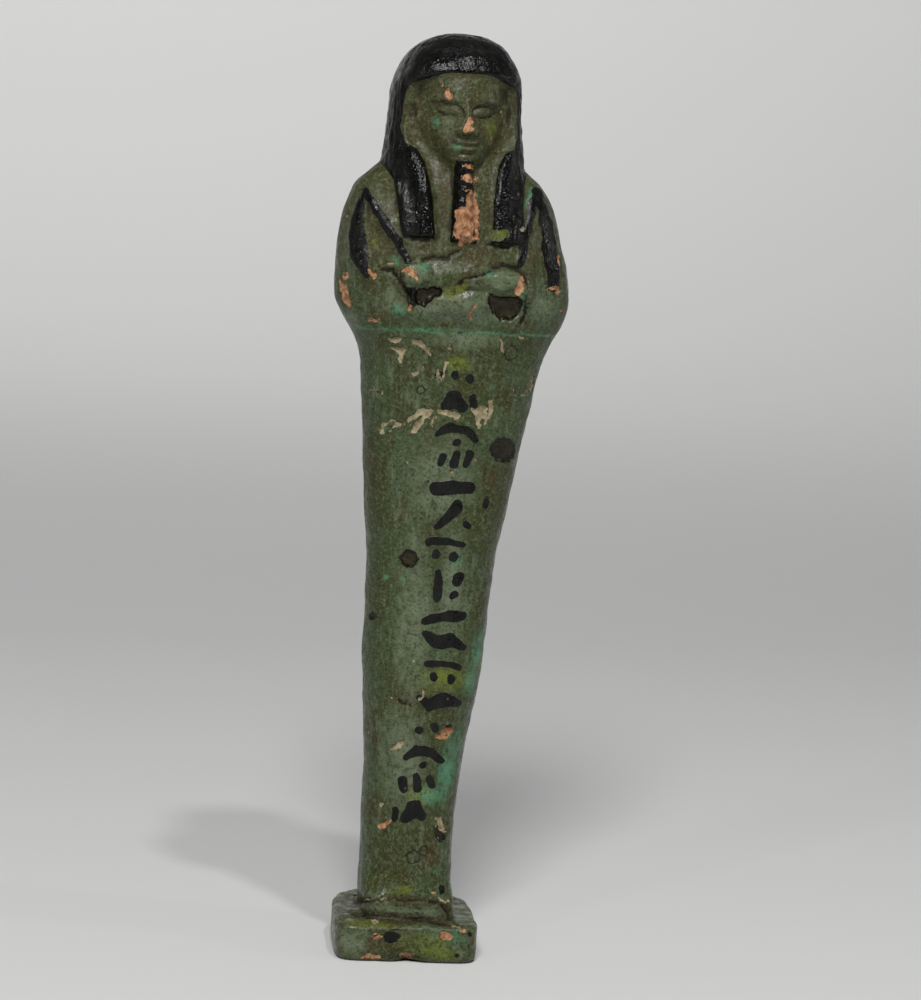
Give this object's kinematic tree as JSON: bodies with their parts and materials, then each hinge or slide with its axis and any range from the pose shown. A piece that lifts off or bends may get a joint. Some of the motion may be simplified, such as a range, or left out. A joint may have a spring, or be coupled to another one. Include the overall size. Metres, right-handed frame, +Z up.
{
  "type": "ushabti figurine",
  "caption": "Upright mummiform funerary figurine of green glazed faience with a striped wig, a long beard, crossed arms holding hoes, a back pillar and a low base.",
  "frame": {"origin": "centre of the flat underside of the base, on the surface that the figurine stands on", "axes": "+Z up along the figurine; it faces -Y, and its back pillar faces +Y"},
  "size_m": [0.0412, 0.0265, 0.16],
  "materials": {
    "green_faience": "satin glaze over a fired quartz body, mottled blue-green and olive, with black-brown painted wig, beard and hoes and chips that show the pinkish body"
  },
  "bodies": {
    "root": {"ushabti": "green_faience"}
  },
  "joints": []
}
